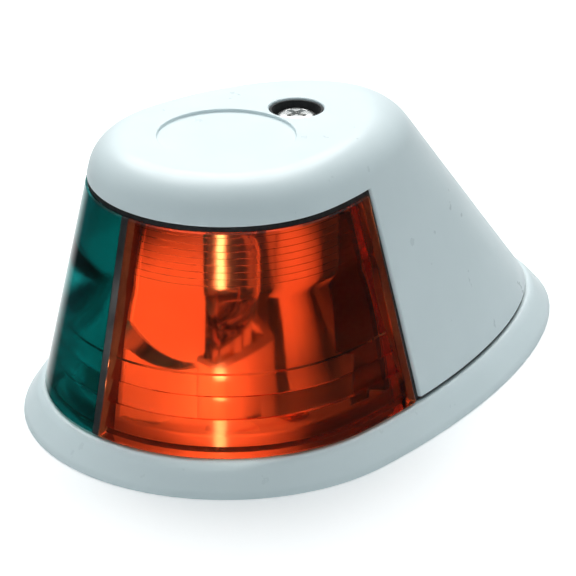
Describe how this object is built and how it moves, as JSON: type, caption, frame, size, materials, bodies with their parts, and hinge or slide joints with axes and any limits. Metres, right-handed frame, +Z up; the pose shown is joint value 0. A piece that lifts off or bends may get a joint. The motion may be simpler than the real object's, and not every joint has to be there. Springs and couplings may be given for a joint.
{
  "type": "navigation light",
  "caption": "Deck-mounted bow navigation light with red and green sector lenses, a white lift-off cover held by one screw, and a wedge bulb.",
  "frame": {"origin": "middle of the footprint, on the deck face of the base", "axes": "+Z up off the deck, -Y towards the bow, +X to port (red), -X to starboard (green)"},
  "size_m": [0.0622, 0.1, 0.0438],
  "materials": {
    "white_plastic": "satin",
    "black_plastic": "matt",
    "rubber": "matt",
    "red_lens": "gloss",
    "green_lens": "gloss",
    "clear_glass": "gloss",
    "stainless": "satin",
    "brass": "satin",
    "tungsten": "satin"
  },
  "bodies": {
    "base_unit": {"base": "white_plastic", "base_gasket": "rubber", "foot_seal": "rubber", "cutoff_screen_port": "black_plastic", "cutoff_screen_stbd": "black_plastic", "bulb_holder": "white_plastic", "contact_strip_port": "brass", "contact_strip_stbd": "brass", "contact_rivet_port": "brass", "contact_rivet_stbd": "brass", "blade_terminal_port": "brass", "blade_terminal_stbd": "brass"},
    "lens_unit": {"red_lens": "red_lens", "green_lens": "green_lens", "lens_divider": "black_plastic", "lens_seal": "rubber", "sector_baffle": "white_plastic"},
    "cover_unit": {"cover": "white_plastic"},
    "screw_seals": {"cover_screw_washer": "stainless", "cover_screw_seal": "rubber"},
    "screw": {"cover_screw": "stainless"},
    "bulb": {"bulb_glass": "clear_glass", "bulb_filament": "tungsten", "bulb_lead_fore": "stainless", "bulb_lead_aft": "stainless"}
  },
  "joints": [
    {"name": "lens_lift", "type": "slide", "parent": "base_unit", "child": "lens_unit", "axis": [0, 0, 1], "range_m": [0, 0.04]},
    {"name": "cover_lift", "type": "slide", "parent": "lens_unit", "child": "cover_unit", "axis": [0, 0, 1], "range_m": [0, 0.04]},
    {"name": "cover_screw_travel", "type": "slide", "parent": "cover_unit", "child": "screw_seals", "axis": [0, 0, 1], "range_m": [0, 0.01]},
    {"name": "cover_screw_turn", "type": "hinge", "parent": "screw_seals", "child": "screw", "pos_m": [0, -0.004, 0.041], "axis": [0, 0, 1], "range_deg": [0, 2835]},
    {"name": "bulb_pull", "type": "slide", "parent": "base_unit", "child": "bulb", "axis": [0, 0, 1], "range_m": [0, 0.009]}
  ],
  "couplings": [
    {"joint": "cover_screw_turn", "follows": "cover_screw_travel", "rad_per_m": 4947.4}
  ]
}
